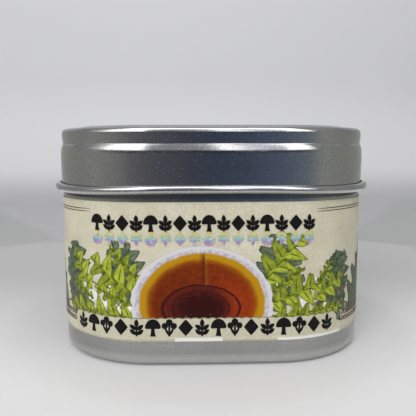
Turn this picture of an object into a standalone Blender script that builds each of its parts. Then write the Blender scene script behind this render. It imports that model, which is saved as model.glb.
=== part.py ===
"""Rounded-square tinplate tin with a slip lid and a wrap-around paper label.

The tin stands on the floor plane with its middle over the origin, +Z up and its front towards -Y.
Units are metres.
"""

from math import cos, pi, radians, sin

import bmesh
import bpy

MM = 0.001

# Plan of the body's outer wall: a square whose corners are round and whose sides bow out slightly.
BODY_HALF_WIDTH = 37.9 * MM
CORNER_RADIUS = 23.5 * MM
SIDE_TURN = radians(1.5)
CORNER_STEPS = 10

# Tinplate and paper.
SHEET = 0.25 * MM
PAPER = 0.13 * MM
PAPER_GAP = 0.12 * MM

# Body, as heights above the floor and distances in from the outer wall.
BODY_RIM_HEIGHT = 48.4 * MM
RIM_CURL_RADIUS = 0.6 * MM
BASE_EDGE_RADIUS = 2.0 * MM
STANDING_RING_INNER = 4.4 * MM
BASE_PANEL_EDGE = 6.0 * MM
BASE_PANEL_RISE = 0.6 * MM

# Lid, as heights above the floor and distances out from the body's outer wall.
LID_TOP_HEIGHT = 54.3 * MM
LID_SHOULDER_HEIGHT = 53.8 * MM
LID_SHOULDER_RADIUS = 1.0 * MM
LID_PANEL_EDGE = -5.0 * MM
LID_BAND_CLEARANCE = -0.05 * MM
LID_GROOVE_DEPTH = 0.3 * MM
LID_GROOVE_HEIGHT = 50.1 * MM
LID_SKIRT_CLEARANCE = 0.35 * MM
LID_SKIRT_TAPER = 0.1 * MM
LID_BEAD_RADIUS = 0.86 * MM
LID_BEAD_BOTTOM = 39.4 * MM

# Label.
LABEL_BOTTOM = 5.95 * MM
LABEL_HEIGHT = 31.45 * MM
LABEL_END_GAP = 2.5 * MM


def plan_arcs():
    """Radius of a side's arc and inset of a corner's centre, for arcs that meet tangentially."""
    reach = (BODY_HALF_WIDTH - CORNER_RADIUS) / (sin(SIDE_TURN) + 1.0 - cos(SIDE_TURN))
    return reach + CORNER_RADIUS, reach * sin(SIDE_TURN)


def side_station(axis, turn=0.0):
    """Station on the side that faces the angle axis: normal angle, arc centre, arc radius."""
    side_radius, _ = plan_arcs()
    setback = side_radius - BODY_HALF_WIDTH
    return axis + turn, (-setback * cos(axis), -setback * sin(axis)), side_radius


def corner_stations(axis):
    """Stations of the corner that follows the side facing the angle axis."""
    _, inset = plan_arcs()
    diagonal = axis + pi / 4.0
    centre = (inset * 2 ** 0.5 * cos(diagonal), inset * 2 ** 0.5 * sin(diagonal))
    sweep = pi / 2.0 - 2.0 * SIDE_TURN
    return [
        (axis + SIDE_TURN + sweep * step / CORNER_STEPS, centre, CORNER_RADIUS)
        for step in range(CORNER_STEPS + 1)
    ]


def closed_plan():
    """Stations once round the tin, from the middle of the right side."""
    stations = []
    for quarter in range(4):
        axis = quarter * pi / 2.0
        stations.append(side_station(axis))
        stations.extend(corner_stations(axis))
    return stations


def open_plan(gap):
    """Stations round the tin that leave a gap in the middle of the back."""
    back = pi / 2.0
    half_turn = gap / 2.0 / plan_arcs()[0]
    stations = [side_station(back, half_turn)]
    stations.extend(corner_stations(back))
    for quarter in (2, 3, 4):
        stations.append(side_station(quarter * back))
        stations.extend(corner_stations(quarter * back))
    stations.append(side_station(back, -half_turn))
    return stations


def plan_point(station, offset, height):
    """Point at one station, moved out along the plan's normal and raised to a height."""
    angle, centre, radius = station
    distance = radius + offset
    return centre[0] + distance * cos(angle), centre[1] + distance * sin(angle), height


def arc(centre_offset, centre_height, radius, start, end, steps):
    """Points of a circular arc in a section, as offset and height; angles are in degrees."""
    points = []
    for step in range(steps + 1):
        angle = radians(start + (end - start) * step / steps)
        points.append((centre_offset + radius * cos(angle), centre_height + radius * sin(angle)))
    return points


def drawn_sheet(name, section, outward_up, collection):
    """Sheet drawn from a flat panel: the panel's edge is extruded round the plan along a section."""
    stations = closed_plan()
    bm = bmesh.new()
    index = bm.verts.layers.int.new("station")
    bmesh.ops.create_circle(bm, cap_ends=True, segments=len(stations), radius=BODY_HALF_WIDTH)
    bm.verts.ensure_lookup_table()
    for number, vert in enumerate(bm.verts):
        vert[index] = number
        vert.co = plan_point(stations[number], *section[0])
    rim = list(bm.edges)
    for offset, height in section[1:]:
        grown = bmesh.ops.extrude_edge_only(bm, edges=rim)["geom"]
        verts = {item for item in grown if isinstance(item, bmesh.types.BMVert)}
        for vert in verts:
            vert.co = plan_point(stations[vert[index]], offset, height)
        rim = [
            item for item in grown
            if isinstance(item, bmesh.types.BMEdge) and verts.issuperset(item.verts)
        ]
    bmesh.ops.recalc_face_normals(bm, faces=bm.faces)
    panel = max(bm.faces, key=lambda face: len(face.verts))
    if (panel.normal.z > 0.0) != outward_up:
        bmesh.ops.reverse_faces(bm, faces=bm.faces)
    return finished_object(name, bm, collection)


def wrapped_strip(name, stations, offset, bottom, height, collection):
    """Strip that stands round the plan at one offset, extruded up from its lower edge."""
    bm = bmesh.new()
    verts = [bm.verts.new(plan_point(station, offset, bottom)) for station in stations]
    edges = [bm.edges.new(pair) for pair in zip(verts[:-1], verts[1:])]
    grown = bmesh.ops.extrude_edge_only(bm, edges=edges)["geom"]
    raised = [item for item in grown if isinstance(item, bmesh.types.BMVert)]
    bmesh.ops.translate(bm, verts=raised, vec=(0.0, 0.0, height))
    bmesh.ops.recalc_face_normals(bm, faces=bm.faces)
    front = min(bm.faces, key=lambda face: face.calc_center_median().y)
    if front.normal.y > 0.0:
        bmesh.ops.reverse_faces(bm, faces=bm.faces)
    return finished_object(name, bm, collection)


def finished_object(name, bm, collection):
    """Object made of a bmesh, smooth but for its tight bends, in the part's collection."""
    mesh = bpy.data.meshes.new(name)
    bm.to_mesh(mesh)
    bm.free()
    mesh.shade_smooth()
    mesh.set_sharp_from_angle(angle=radians(40.0))
    thing = bpy.data.objects.new(name, mesh)
    collection.objects.link(thing)
    return thing


def thicken(thing, thickness, side):
    """Give a sheet its thickness: side 1 adds it outside the surface, side -1 inside."""
    wall = thing.modifiers.new("wall", "SOLIDIFY")
    wall.thickness = thickness
    wall.offset = side
    wall.use_even_offset = True
    wall.use_rim = True


def finish(thing, name, colour, roughness, metallic):
    """Give a sub-part its own Principled material."""
    material = bpy.data.materials.new(name)
    material.use_nodes = True
    shader = material.node_tree.nodes["Principled BSDF"]
    shader.inputs["Base Color"].default_value = (*colour, 1.0)
    shader.inputs["Roughness"].default_value = roughness
    shader.inputs["Metallic"].default_value = metallic
    material.diffuse_color = (*colour, 1.0)
    thing.data.materials.append(material)


def tin_body(collection):
    """Seamless drawn body: raised base panel, standing ring, round base edge, wall, curled-in rim."""
    curl_height = BODY_RIM_HEIGHT - RIM_CURL_RADIUS
    step = (BASE_PANEL_EDGE - STANDING_RING_INNER) / 3.0
    section = [
        (-BASE_PANEL_EDGE, BASE_PANEL_RISE),
        (-BASE_PANEL_EDGE + step, 0.85 * BASE_PANEL_RISE),
        (-STANDING_RING_INNER - step, 0.15 * BASE_PANEL_RISE),
        (-STANDING_RING_INNER, 0.0),
    ]
    section += arc(-BASE_EDGE_RADIUS, BASE_EDGE_RADIUS, BASE_EDGE_RADIUS, -90.0, 0.0, 6)
    section += arc(-RIM_CURL_RADIUS, curl_height, RIM_CURL_RADIUS, 0.0, 225.0, 7)
    body = drawn_sheet("tin_body", section, False, collection)
    thicken(body, SHEET, -1.0)
    finish(body, "tin_body_tinplate", (0.56, 0.56, 0.55), 0.28, 1.0)


def slip_lid(collection):
    """Lid pressed from one sheet: raised panel, shoulder, band, groove, skirt, curled-out bead."""
    panel = LID_TOP_HEIGHT - SHEET
    trough = LID_SHOULDER_HEIGHT - SHEET - 0.15 * MM
    shoulder_offset = LID_BAND_CLEARANCE - LID_SHOULDER_RADIUS
    shoulder_height = LID_SHOULDER_HEIGHT - SHEET - LID_SHOULDER_RADIUS
    groove = LID_BAND_CLEARANCE - LID_GROOVE_DEPTH
    skirt_foot = LID_SKIRT_CLEARANCE - LID_SKIRT_TAPER
    bead_offset = skirt_foot + LID_BEAD_RADIUS
    bead_height = LID_BEAD_BOTTOM + LID_BEAD_RADIUS
    section = [
        (LID_PANEL_EDGE, panel),
        (LID_PANEL_EDGE + 0.5 * MM, panel - 0.12 * MM),
        (LID_PANEL_EDGE + 1.1 * MM, trough + 0.1 * MM),
        (LID_PANEL_EDGE + 1.6 * MM, trough),
        (shoulder_offset - 0.9 * MM, trough),
    ]
    section += arc(shoulder_offset, shoulder_height, LID_SHOULDER_RADIUS, 90.0, 0.0, 5)
    section += [
        (LID_BAND_CLEARANCE, LID_GROOVE_HEIGHT + 0.7 * MM),
        (groove + 0.08 * MM, LID_GROOVE_HEIGHT + 0.2 * MM),
        (groove, LID_GROOVE_HEIGHT),
        (groove + 0.1 * MM, LID_GROOVE_HEIGHT - 0.3 * MM),
        (LID_SKIRT_CLEARANCE - 0.15 * MM, LID_GROOVE_HEIGHT - 1.2 * MM),
        (LID_SKIRT_CLEARANCE, LID_GROOVE_HEIGHT - 2.2 * MM),
        (LID_SKIRT_CLEARANCE - 0.4 * LID_SKIRT_TAPER, bead_height + 3.0 * MM),
    ]
    section += arc(bead_offset, bead_height, LID_BEAD_RADIUS, 180.0, 470.0, 12)
    lid = drawn_sheet("slip_lid", section, True, collection)
    thicken(lid, SHEET, 1.0)
    finish(lid, "slip_lid_tinplate", (0.58, 0.58, 0.57), 0.22, 1.0)


def paper_label(collection):
    """Paper label wrapped once round the wall, its two ends a little apart at the back."""
    stations = open_plan(LABEL_END_GAP)
    label = wrapped_strip("paper_label", stations, PAPER_GAP, LABEL_BOTTOM, LABEL_HEIGHT, collection)
    thicken(label, PAPER, 1.0)
    finish(label, "label_paper", (0.72, 0.68, 0.55), 0.55, 0.0)


def clear_scene():
    """Remove the objects that a new Blender file holds."""
    for thing in list(bpy.data.objects):
        bpy.data.objects.remove(thing, do_unlink=True)


def main():
    clear_scene()
    collection = bpy.data.collections.new("slip_lid_tin")
    bpy.context.scene.collection.children.link(collection)
    tin_body(collection)
    slip_lid(collection)
    paper_label(collection)


main()
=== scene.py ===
"""Looks of a rounded-square slip-lid tin with a printed paper label.

The tin's two drawn sheets and its label are fine surfaces computed with numpy round the tin's plan, in
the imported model's frame: metres, +Z up, the front of the tin towards -Y.
"""

import logging
from dataclasses import dataclass
from enum import Enum
from math import pi, radians

import bpy
import numpy as np
from mathutils import Matrix, Vector


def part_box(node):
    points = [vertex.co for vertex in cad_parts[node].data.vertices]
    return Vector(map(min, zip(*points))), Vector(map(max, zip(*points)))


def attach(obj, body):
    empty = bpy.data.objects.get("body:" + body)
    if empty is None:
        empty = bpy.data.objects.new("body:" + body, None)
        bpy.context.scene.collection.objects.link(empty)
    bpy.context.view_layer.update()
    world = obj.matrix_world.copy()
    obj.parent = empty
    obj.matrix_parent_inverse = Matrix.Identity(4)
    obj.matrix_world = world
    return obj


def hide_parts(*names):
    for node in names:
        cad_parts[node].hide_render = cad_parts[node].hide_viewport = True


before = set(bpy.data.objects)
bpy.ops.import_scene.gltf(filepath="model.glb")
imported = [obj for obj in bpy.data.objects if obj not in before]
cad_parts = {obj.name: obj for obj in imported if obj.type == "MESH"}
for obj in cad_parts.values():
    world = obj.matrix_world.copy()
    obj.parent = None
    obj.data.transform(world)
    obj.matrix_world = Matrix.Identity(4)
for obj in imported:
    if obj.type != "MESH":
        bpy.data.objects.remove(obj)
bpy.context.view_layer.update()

MM = 0.001
LOG = logging.getLogger("slip_lid_tin")
Array = np.ndarray
Colour = tuple[float, float, float]
Socket = bpy.types.NodeSocket
GOLDEN_ANGLE = pi * (3 - 5**0.5)


# ---------------------------------------------------------------- surfaces


def grid_quads(rows: int, columns: int, closed: bool) -> Array:
    """Quads that join a grid of points numbered row by row.

    Args:
        rows: number of rows of points.
        columns: number of points in a row.
        closed: whether the last column joins the first.

    Returns:
        Point numbers, four to a quad.
    """
    spans = columns if closed else columns - 1
    row = np.arange(rows - 1)[:, None] * columns
    here = np.arange(spans)[None, :]
    beyond = (here + 1) % columns
    corners = [row + here, row + beyond, row + beyond + columns, row + here + columns]
    return np.stack(corners, axis=-1).reshape(-1, 4)


def mesh_object(name: str, points: Array, quads: Array, triangles: Array | None = None) -> bpy.types.Object:
    """Object whose mesh has the given points and faces.

    Args:
        name: name of the object and its mesh.
        points: positions in metres, one row to a point.
        quads: point numbers, four to a face.
        triangles: point numbers, three to a face, or None.

    Returns:
        The new object, at the origin.
    """
    triangles = np.zeros((0, 3), int) if triangles is None else triangles
    corners = np.concatenate([quads.ravel(), triangles.ravel()]).astype(np.int32)
    sizes = np.concatenate([np.full(len(quads), 4), np.full(len(triangles), 3)])
    starts = np.concatenate([[0], np.cumsum(sizes)[:-1]]).astype(np.int32)
    mesh = bpy.data.meshes.new(name)
    mesh.vertices.add(len(points))
    mesh.vertices.foreach_set("co", points.astype(np.float32).ravel())
    mesh.loops.add(len(corners))
    mesh.loops.foreach_set("vertex_index", corners)
    mesh.polygons.add(len(sizes))
    mesh.polygons.foreach_set("loop_start", starts)
    mesh.update(calc_edges=True)
    mesh.validate()
    mesh.shade_smooth()
    mesh.set_sharp_from_angle(angle=radians(50.0))
    thing = bpy.data.objects.new(name, mesh)
    bpy.context.scene.collection.objects.link(thing)
    return thing


def thicken(thing: bpy.types.Object, thickness: float, side: float) -> None:
    """Give an open surface a wall.

    Args:
        thing: the object that holds the surface.
        thickness: wall thickness in metres.
        side: 1 to add the wall outside the surface, -1 inside.
    """
    wall = thing.modifiers.new("wall", "SOLIDIFY")
    wall.thickness = thickness
    wall.offset = side
    wall.use_even_offset = True


@dataclass(frozen=True)
class TinPlan:
    """Plan of the body's outer wall: a square with round corners and slightly bowed sides.

    Each side is an arc of large radius that turns by side_turn either way from its middle, and each
    corner is an arc of corner_radius that meets the side arcs tangentially. A point of the plan is
    named by its wall angle, the direction of the wall's normal: 0 at the middle of the front, and
    growing towards the right.
    """

    half_width: float
    corner_radius: float = 23.5 * MM
    side_turn: float = radians(1.5)

    def arcs(self) -> tuple[float, float]:
        """Radius of a side's arc, and how far a corner's centre lies from the middle lines.

        Returns:
            The radius and the inset.
        """
        rise = 1 + np.sin(self.side_turn) - np.cos(self.side_turn)
        reach = (self.half_width - self.corner_radius) / rise
        return reach + self.corner_radius, reach * np.sin(self.side_turn)

    def place(self, angle: Array, offset: Array, height: Array) -> Array:
        """Points beside the wall.

        The angle is split into the nearest side's axis and a turn from it. Within side_turn the point
        lies on the side's arc; beyond, on the corner's. Either way it is the arc's centre plus the
        arc's radius and the offset along the normal.

        Args:
            angle: wall angle in radians.
            offset: distance out from the wall.
            height: height above the floor.

        Returns:
            Positions, with x, y and z in the last axis.
        """
        angle, offset, height = np.broadcast_arrays(angle, offset, height)
        side_radius, inset = self.arcs()
        axis = np.round(angle / (pi / 2)) * (pi / 2)
        turn = angle - axis
        on_side = np.abs(turn) <= self.side_turn
        radius = np.where(on_side, side_radius, self.corner_radius) + offset
        across = np.where(on_side, 0.0, np.sign(turn) * inset) + radius * np.sin(turn)
        out = np.where(on_side, self.half_width - side_radius, inset) + radius * np.cos(turn)
        x = across * np.cos(axis) + out * np.sin(axis)
        y = across * np.sin(axis) - out * np.cos(axis)
        return np.stack([x, y, height], axis=-1)

    def angles_round(self, side_steps: int, corner_steps: int) -> Array:
        """Wall angles once round the tin from the middle of the front, for a closed grid.

        Args:
            side_steps: steps along a side.
            corner_steps: steps round a corner.

        Returns:
            The wall angles, growing.
        """
        half_side = np.linspace(0, self.side_turn, side_steps // 2, endpoint=False)
        corner = np.linspace(self.side_turn, pi / 2 - self.side_turn, corner_steps, endpoint=False)
        rest = np.linspace(pi / 2 - self.side_turn, pi / 2, side_steps // 2, endpoint=False)
        quarter = np.concatenate([half_side, corner, rest])
        return (quarter[None, :] + np.arange(4)[:, None] * pi / 2).ravel()

    def angle_at(self, run: Array, offset: float) -> Array:
        """Wall angle at a distance along the wall from the middle of the front.

        An arc's length is its radius times its turn, so the distance is a broken line over the
        angle, and is read backwards by linear interpolation between the arcs' ends.

        Args:
            run: distance along the wall, to the right.
            offset: distance out from the wall at which the run is measured.

        Returns:
            Wall angles.
        """
        side_radius, _ = self.arcs()
        quarters = np.arange(-3, 4)[:, None] * pi / 2
        ends = np.sort((quarters + np.array([-self.side_turn, self.side_turn])).ravel())
        on_side = np.arange(len(ends) - 1) % 2 == 0
        lengths = np.diff(ends) * (np.where(on_side, side_radius, self.corner_radius) + offset)
        runs = np.concatenate([[0.0], np.cumsum(lengths)])
        return np.interp(run, runs - runs[-1] / 2, ends)


@dataclass(frozen=True)
class Section:
    """Section of a drawn sheet: corner points given as (offset, height, bend radius)."""

    corners: tuple[tuple[float, float, float], ...]
    spacing: float = 0.2 * MM

    def path(self) -> Array:
        """Points of the section at an even spacing.

        Each inner corner becomes an arc that touches both legs: it starts and ends at the radius
        times the tangent of half the turn from the corner.

        Returns:
            Offsets and heights, one row to a point.
        """
        knots = np.array(self.corners)
        pieces = [knots[:1, :2]]
        for before, (offset, height, radius), after in zip(knots[:-2, :2], knots[1:-1], knots[2:, :2]):
            pieces.append(fillet(before, np.array([offset, height]), after, radius))
        pieces.append(knots[-1:, :2])
        return even_path(np.concatenate(pieces), self.spacing)


def fillet(before: Array, corner: Array, after: Array, radius: float) -> Array:
    """Arc that rounds one corner of a path.

    The arc is drawn as a quadratic blend of the two tangent points and the corner, weighted by the
    cosine of half the turn, which is the exact circle as a rational curve.

    Args:
        before: the point before the corner.
        corner: the corner.
        after: the point after it.
        radius: radius of the arc.

    Returns:
        Points of the arc.
    """
    into = (corner - before) / np.linalg.norm(corner - before)
    out = (after - corner) / np.linalg.norm(after - corner)
    half_turn = np.arccos(np.clip(into @ out, -1, 1)) / 2
    reach = radius * np.tan(half_turn)
    t = np.linspace(0, 1, 25)[:, None]
    weights = [(1 - t) ** 2, 2 * t * (1 - t) * np.cos(half_turn), t**2]
    total = weights[0] + weights[1] + weights[2]
    blend = weights[0] * (corner - into * reach) + weights[1] * corner + weights[2] * (corner + out * reach)
    return blend / total


def arc_path(centre: tuple[float, float], radius: float, start: float, end: float) -> list:
    """Section corners with no bend along an arc, with its angles in degrees.

    Args:
        centre: offset and height of the arc's centre.
        radius: radius of the arc.
        start: first angle.
        end: last angle.

    Returns:
        The corners, in order along the arc.
    """
    angles = np.radians(np.linspace(start, end, 60))
    arc = np.stack([centre[0] + radius * np.cos(angles), centre[1] + radius * np.sin(angles)], axis=-1)
    return [(offset, height, 0.0) for offset, height in arc]


def even_path(path: Array, spacing: float) -> Array:
    """The same path with its points at an even spacing along its length.

    Args:
        path: points, one row to a point.
        spacing: distance between the new points.

    Returns:
        The new points.
    """
    along = np.concatenate([[0.0], np.cumsum(np.linalg.norm(np.diff(path, axis=0), axis=1))])
    wanted = np.linspace(0, along[-1], int(np.ceil(along[-1] / spacing)) + 1)
    return np.stack([np.interp(wanted, along, column) for column in path.T], axis=-1)


@dataclass(frozen=True)
class PressMarks:
    """Slow unevenness that pressing leaves in a sheet: a sum of sines round and up the wall."""

    depth: float
    seed: int

    def depth_at(self, angle: Array, height: Array) -> Array:
        """Offset to add to the wall.

        Args:
            angle: wall angle.
            height: height above the floor.

        Returns:
            Offsets in metres, from 0 to depth inwards.
        """
        rng = np.random.default_rng(self.seed)
        turns = np.array([2, 3, 5, 9, 14])
        waves = rng.uniform(60, 420, len(turns))
        phases = rng.uniform(0, 2 * pi, (2, len(turns)))
        shape = (..., None)
        angle, height = np.asarray(angle)[shape], np.asarray(height)[shape]
        parts = np.sin(turns * angle + phases[0]) * np.sin(waves * height + phases[1])
        return self.depth * (parts.mean(axis=-1) - 1) / 2


def drawn_sheet(name: str, plan: TinPlan, section: Section, marks: PressMarks) -> bpy.types.Object:
    """Sheet drawn from a flat panel.

    The wall is the section carried round the plan. The panel inside the section's first point is that
    first ring shrunk towards the middle in even steps, closed by a fan at the middle point.

    Args:
        name: name of the object.
        plan: the tin's plan.
        section: from the panel's edge outward and along the wall.
        marks: unevenness of the wall.

    Returns:
        The object, as an open surface.
    """
    angles = plan.angles_round(24, 40)
    path = section.path()
    offset, height = path[:, :1], path[:, 1:]
    rise = np.clip(np.gradient(path[:, 1]) / section.spacing, -1, 1)[:, None]
    uneven = marks.depth_at(angles[None, :], height) * rise**2
    wall = plan.place(angles[None, :], offset + uneven, height)
    shares = np.linspace(0, 1, 20)[1:-1, None, None]
    middle = np.array([0.0, 0.0, path[0, 1]])
    panel = middle + shares * (wall[0] - middle)
    points = np.concatenate([middle[None], panel.reshape(-1, 3), wall.reshape(-1, 3)])
    columns = len(angles)
    quads = grid_quads(len(panel) + len(path), columns, True) + 1
    first = np.arange(columns)
    fan = np.stack([np.zeros(columns, int), 1 + first, 1 + (first + 1) % columns], axis=-1)
    upward = path[-1, 1] < path[0, 1]
    if upward:
        return mesh_object(name, points, quads[:, ::-1], fan)
    return mesh_object(name, points, quads, fan[:, ::-1])


# ---------------------------------------------------------------- finishes


class Bench:
    """Workbench for one material: makes its nodes and joins them."""

    def __init__(self, name: str) -> None:
        """Start a material with an empty Principled shader.

        Args:
            name: name of the material.
        """
        self.material = bpy.data.materials.new(name)
        self.material.use_nodes = True
        self.tree = self.material.node_tree
        self.shader = self.tree.nodes["Principled BSDF"]

    def add(self, kind: str, **settings: object) -> bpy.types.Node:
        """Add a node of a kind, with its settings.

        Args:
            kind: type of the node.
            settings: properties of the node.

        Returns:
            The node.
        """
        node = self.tree.nodes.new(kind)
        for key, value in settings.items():
            setattr(node, key, value)
        return node

    def feed(self, socket: bpy.types.NodeSocket, value: object) -> None:
        """Join a value to a socket: another node's output, or a number or colour set on it.

        Args:
            socket: the input to set.
            value: what it gets.
        """
        if isinstance(value, bpy.types.NodeSocket):
            self.tree.links.new(value, socket)
        elif isinstance(value, tuple) and len(value) == 3 and socket.type == "RGBA":
            socket.default_value = (*value, 1.0)
        else:
            socket.default_value = value

    def math(self, operation: str, first: object, second: object = 0.0,
             third: object = 0.0) -> Socket:
        """Result of a Math node on up to three values.

        Args:
            operation: the operation.
            first: first value.
            second: second value.
            third: third value.

        Returns:
            The result's socket.
        """
        node = self.add("ShaderNodeMath", operation=operation)
        for socket, value in zip(node.inputs, (first, second, third)):
            self.feed(socket, value)
        return node.outputs[0]

    def times(self, first: object, second: object) -> Socket:
        """Product of two values."""
        return self.math("MULTIPLY", first, second)

    def smooth(self, value: object, low: float, high: float) -> Socket:
        """Smooth step of a value from 0 at low to 1 at high.

        Args:
            value: the value.
            low: where the step starts.
            high: where it ends.

        Returns:
            The step's socket.
        """
        node = self.add("ShaderNodeMapRange", interpolation_type="SMOOTHSTEP")
        self.feed(node.inputs["Value"], value)
        node.inputs["From Min"].default_value = low
        node.inputs["From Max"].default_value = high
        return node.outputs["Result"]

    def mix(self, share: object, first: object, second: object) -> Socket:
        """Colour between two colours.

        Args:
            share: 0 for the first colour, 1 for the second.
            first: a colour.
            second: a colour.

        Returns:
            The colour's socket.
        """
        node = self.add("ShaderNodeMix", data_type="RGBA")
        self.feed(node.inputs["Factor"], share)
        self.feed(node.inputs["A"], first)
        self.feed(node.inputs["B"], second)
        return node.outputs["Result"]

    def place(self, scale: tuple[float, float, float]) -> Socket:
        """Object coordinates times a scale along each axis, in cells a metre.

        Args:
            scale: cells a metre along each axis.

        Returns:
            The vector's socket.
        """
        coordinates = self.add("ShaderNodeTexCoord")
        mapping = self.add("ShaderNodeMapping")
        mapping.inputs["Scale"].default_value = scale
        self.feed(mapping.inputs["Vector"], coordinates.outputs["Object"])
        return mapping.outputs["Vector"]

    def noise(self, vector: object, detail: float = 2.0, roughness: float = 0.5) -> Socket:
        """Noise with one cell to a unit of the vector.

        Args:
            vector: where it is read.
            detail: number of finer layers.
            roughness: weight of the finer layers.

        Returns:
            The noise's socket, from 0 to 1.
        """
        node = self.add("ShaderNodeTexNoise")
        node.inputs["Scale"].default_value = 1.0
        node.inputs["Detail"].default_value = detail
        node.inputs["Roughness"].default_value = roughness
        self.feed(node.inputs["Vector"], vector)
        return node.outputs["Fac"]

    def bump(self, height: object, distance: float, strength: float = 1.0,
             normal: object = None) -> Socket:
        """Normal bent by a height from 0 to 1 that stands for a distance.

        Args:
            height: the height.
            distance: what a height of 1 stands for, in metres.
            strength: share of the bend that is kept.
            normal: normal to start from, or None for the surface's own.

        Returns:
            The normal's socket.
        """
        node = self.add("ShaderNodeBump")
        node.inputs["Strength"].default_value = strength
        node.inputs["Distance"].default_value = distance
        self.feed(node.inputs["Height"], height)
        if normal is not None:
            self.feed(node.inputs["Normal"], normal)
        return node.outputs["Normal"]

    def done(self, **inputs: object) -> bpy.types.Material:
        """Feed the shader's inputs, named with _ for a space, and return the material."""
        for key, value in inputs.items():
            self.feed(self.shader.inputs[key.replace("_", " ")], value)
        return self.material


@dataclass(frozen=True)
class Tinplate:
    """Drawn tinplate: grey metal with drawing marks up the wall, cloudy dullness, fine dust, painted shade
    under the lid and a painted reflection at the foot.
    """

    name: str
    tint: Colour
    dull_tint: Colour
    roughness: float
    draw_depth: float
    dark_from: float
    scratch_and_reflection_tint: Colour = (0.56, 0.56, 0.54)

    def material(self) -> bpy.types.Material:
        """Build the material: painted shade darkens it above dark_from, a painted reflection of the floor
        brightens it at the foot, and it is finely dusty.

        Returns:
            The material.
        """
        bench = Bench(self.name)
        clouds = bench.noise(bench.place((90, 90, 140)), detail=4.0)
        marks = bench.noise(bench.place((2600, 2600, 70)), detail=3.0)
        grain = bench.noise(bench.place((5200, 5200, 5200)), detail=2.0)
        scratch = bench.noise(bench.place((350, 350, 3600)), detail=2.0)
        dust = bench.smooth(bench.noise(bench.place((3100, 3100, 3100)), detail=1.0), 0.68, 0.82)
        dull = bench.smooth(clouds, 0.35, 0.75)
        speckle = bench.noise(bench.place((2300, 2300, 1700)), detail=3.0, roughness=0.6)
        fine = bench.smooth(speckle, 0.3, 0.7)
        mottle = bench.math("MULTIPLY_ADD", fine, 0.7, bench.times(dull, 0.3))
        colour = bench.mix(mottle, self.tint, self.dull_tint)
        colour = bench.mix(bench.smooth(scratch, 0.66, 0.80), colour, self.scratch_and_reflection_tint)
        colour = bench.mix(bench.times(dust, 0.4), colour, self.scratch_and_reflection_tint)
        split = bench.add("ShaderNodeSeparateXYZ")
        bench.feed(split.inputs[0], bench.place((1.0, 1.0, 1.0)))
        # painted shade: above dark_from, under the lid's bead, the body is darkened to near black, more
        # towards the sides
        sideways = bench.smooth(bench.math("ABSOLUTE", split.outputs["X"]), 0.012, 0.034)
        painted_shade_under_lid = bench.smooth(split.outputs["Z"], self.dark_from, self.dark_from + 0.8 * MM)
        painted_shade_under_lid = bench.times(painted_shade_under_lid, bench.math("MULTIPLY_ADD", sideways, 0.4, 0.5))
        colour = bench.mix(painted_shade_under_lid, colour, (0.035, 0.035, 0.035))
        # painted reflection: below 3.4 mm the foot is brightened towards the pale tint, standing in for the
        # bright floor seen in the base edge
        painted_floor_reflection = bench.smooth(split.outputs["Z"], 3.4 * MM, 1.8 * MM)
        colour = bench.mix(bench.times(painted_floor_reflection, 0.6), colour, self.scratch_and_reflection_tint)
        spread = bench.math("MULTIPLY_ADD", dull, 0.08, self.roughness)
        rough = bench.math("MULTIPLY_ADD", marks, 0.04, bench.math("MULTIPLY_ADD", dust, 0.18, spread))
        drawn = bench.bump(marks, self.draw_depth)
        normal = bench.bump(grain, self.draw_depth * 0.5, normal=drawn)
        return bench.done(Base_Color=colour, Metallic=1.0, Roughness=rough, Normal=normal)


@dataclass(frozen=True)
class LabelPaper:
    """Cream printed paper with a fine two-tone speckle and slow mottling."""

    name: str = "cream_speckled_paper"
    pale: Colour = (0.64, 0.61, 0.49)
    warm: Colour = (0.48, 0.45, 0.32)
    fleck: Colour = (0.42, 0.40, 0.31)

    def material(self) -> bpy.types.Material:
        """Build the material.

        Returns:
            The material.
        """
        bench = Bench(self.name)
        mottle = bench.noise(bench.place((160, 160, 160)), detail=4.0)
        speckle = bench.noise(bench.place((2400, 2400, 2400)), detail=2.0)
        fibre = bench.noise(bench.place((6000, 6000, 2500)), detail=2.0)
        grain = bench.noise(bench.place((3300, 3300, 3300)), detail=1.0)
        tooth = bench.math("MULTIPLY_ADD", grain, 0.9, bench.times(mottle, 0.7))
        base = bench.mix(bench.smooth(tooth, 0.45, 1.15), self.pale, self.warm)
        colour = bench.mix(bench.smooth(speckle, 0.6, 0.78), base, self.fleck)
        return bench.done(Base_Color=colour, Roughness=0.5, Specular_IOR_Level=0.15,
                          Normal=bench.bump(fibre, 0.01 * MM))


@dataclass(frozen=True)
class PlainInk:
    """One flat ink with faint mottling and the paper's tooth."""

    name: str
    colour: Colour
    worn: Colour

    def material(self) -> bpy.types.Material:
        """Build the material.

        Returns:
            The material.
        """
        bench = Bench(self.name)
        mottle = bench.noise(bench.place((1300, 1300, 1300)), detail=3.0)
        tooth = bench.noise(bench.place((6000, 6000, 6000)))
        colour = bench.mix(bench.smooth(mottle, 0.45, 0.8), self.colour, self.worn)
        return bench.done(Base_Color=colour, Roughness=0.5, Specular_IOR_Level=0.12,
                          Normal=bench.bump(tooth, 0.006 * MM))


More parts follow.
